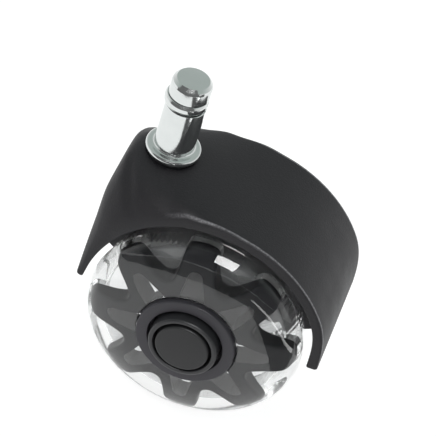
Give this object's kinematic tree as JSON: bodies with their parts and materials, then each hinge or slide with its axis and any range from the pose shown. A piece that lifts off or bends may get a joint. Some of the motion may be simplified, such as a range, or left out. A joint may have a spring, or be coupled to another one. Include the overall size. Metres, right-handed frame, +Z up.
{
  "type": "hooded twin-wheel chair caster",
  "caption": "Hooded twin-wheel swivel caster for an office chair, with clear tyres on toothed black cores and a plated grip-ring stem.",
  "frame": {"origin": "on the swivel axis, in the plane of the stem's shoulder, where the rim of the chair leg's socket rests", "axes": "+Z up the stem; +X from the swivel axis towards the trailing axle; +Y along the axle, towards the right wheel"},
  "size_m": [0.0674, 0.0532, 0.0924],
  "materials": {
    "stem_chrome": "bright nickel-chrome plating",
    "ring_chrome": "plated spring steel",
    "spring_steel": "plain spring steel",
    "axle_steel": "ground steel",
    "nylon": "black nylon",
    "hood_plastic": "fine spark-eroded texture",
    "core_plastic": "smooth satin moulding",
    "insert_plastic": "satin moulding",
    "cap_plastic": "satin moulding",
    "clear_tyre": "water-clear polyurethane"
  },
  "bodies": {
    "stem": {"stem_pin": "stem_chrome", "grip_ring": "ring_chrome", "stem_circlip": "spring_steel"},
    "fork": {"hood": "hood_plastic", "stem_bush": "spring_steel", "thrust_washer": "nylon", "axle_pin": "axle_steel", "left_axle_clip": "spring_steel", "right_axle_clip": "spring_steel", "left_spacer_washer": "nylon", "right_spacer_washer": "nylon"},
    "left_wheel": {"left_tyre": "clear_tyre", "left_wheel_core": "core_plastic", "left_hub_insert": "insert_plastic", "left_centre_cap": "cap_plastic", "left_hub_bush": "nylon"},
    "right_wheel": {"right_tyre": "clear_tyre", "right_wheel_core": "core_plastic", "right_hub_insert": "insert_plastic", "right_centre_cap": "cap_plastic", "right_hub_bush": "nylon"}
  },
  "joints": [
    {"name": "swivel", "type": "hinge", "parent": "stem", "child": "fork", "pos_m": [0, 0, 0], "axis": [0, 0, 1], "continuous": true},
    {"name": "left_wheel_spin", "type": "hinge", "parent": "fork", "child": "left_wheel", "pos_m": [0.0207, 0, -0.041], "axis": [0, 1, 0], "continuous": true},
    {"name": "right_wheel_spin", "type": "hinge", "parent": "fork", "child": "right_wheel", "pos_m": [0.0207, 0, -0.041], "axis": [0, 1, 0], "continuous": true}
  ]
}
